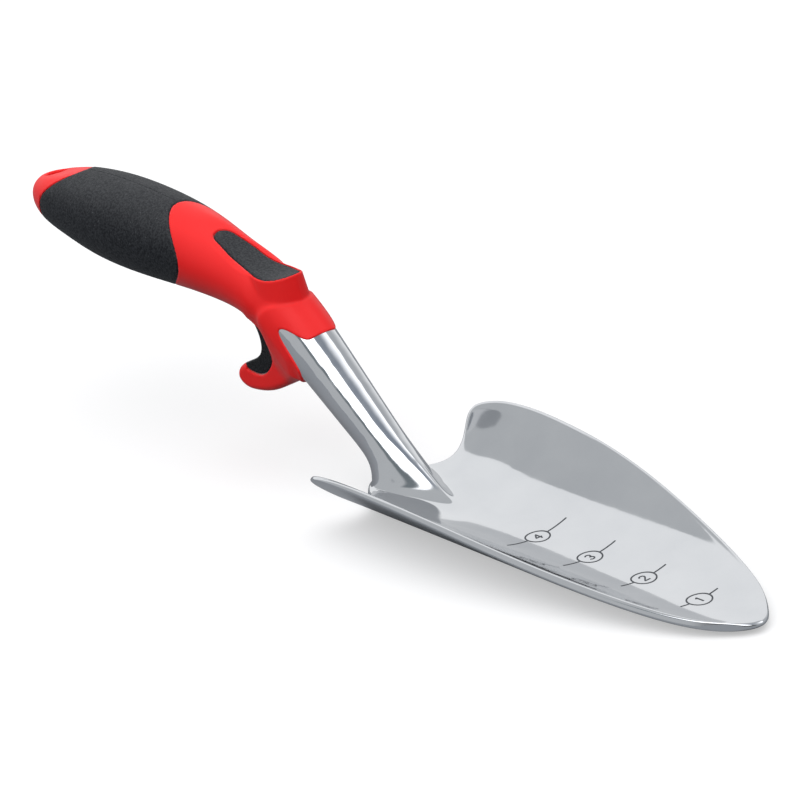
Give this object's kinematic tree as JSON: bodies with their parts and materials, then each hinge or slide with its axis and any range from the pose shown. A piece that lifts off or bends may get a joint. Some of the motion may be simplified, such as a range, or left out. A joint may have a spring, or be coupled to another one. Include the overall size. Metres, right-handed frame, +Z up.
{
  "type": "hand trowel",
  "caption": "One-hand garden trowel: cast aluminium scoop blade on an angled neck, two-material pistol grip with thumb rest and finger hook.",
  "frame": {"origin": "half way along the overall length, on the symmetry plane, level with the lowest line of the blade's underside", "axes": "+X towards the blade's tip, +Z up out of the scoop towards the handle, Y is the symmetry plane's normal"},
  "size_m": [0.3708, 0.076, 0.0836],
  "materials": {
    "cast_aluminium": "polished casting",
    "red_polypropylene": "satin moulded",
    "black_soft_grip": "matt, fine moulded texture"
  },
  "bodies": {
    "root": {"head_casting": "cast_aluminium", "handle_core": "red_polypropylene", "rear_grip_sleeve": "black_soft_grip", "thumb_pad": "black_soft_grip", "finger_pad": "black_soft_grip"}
  },
  "joints": []
}
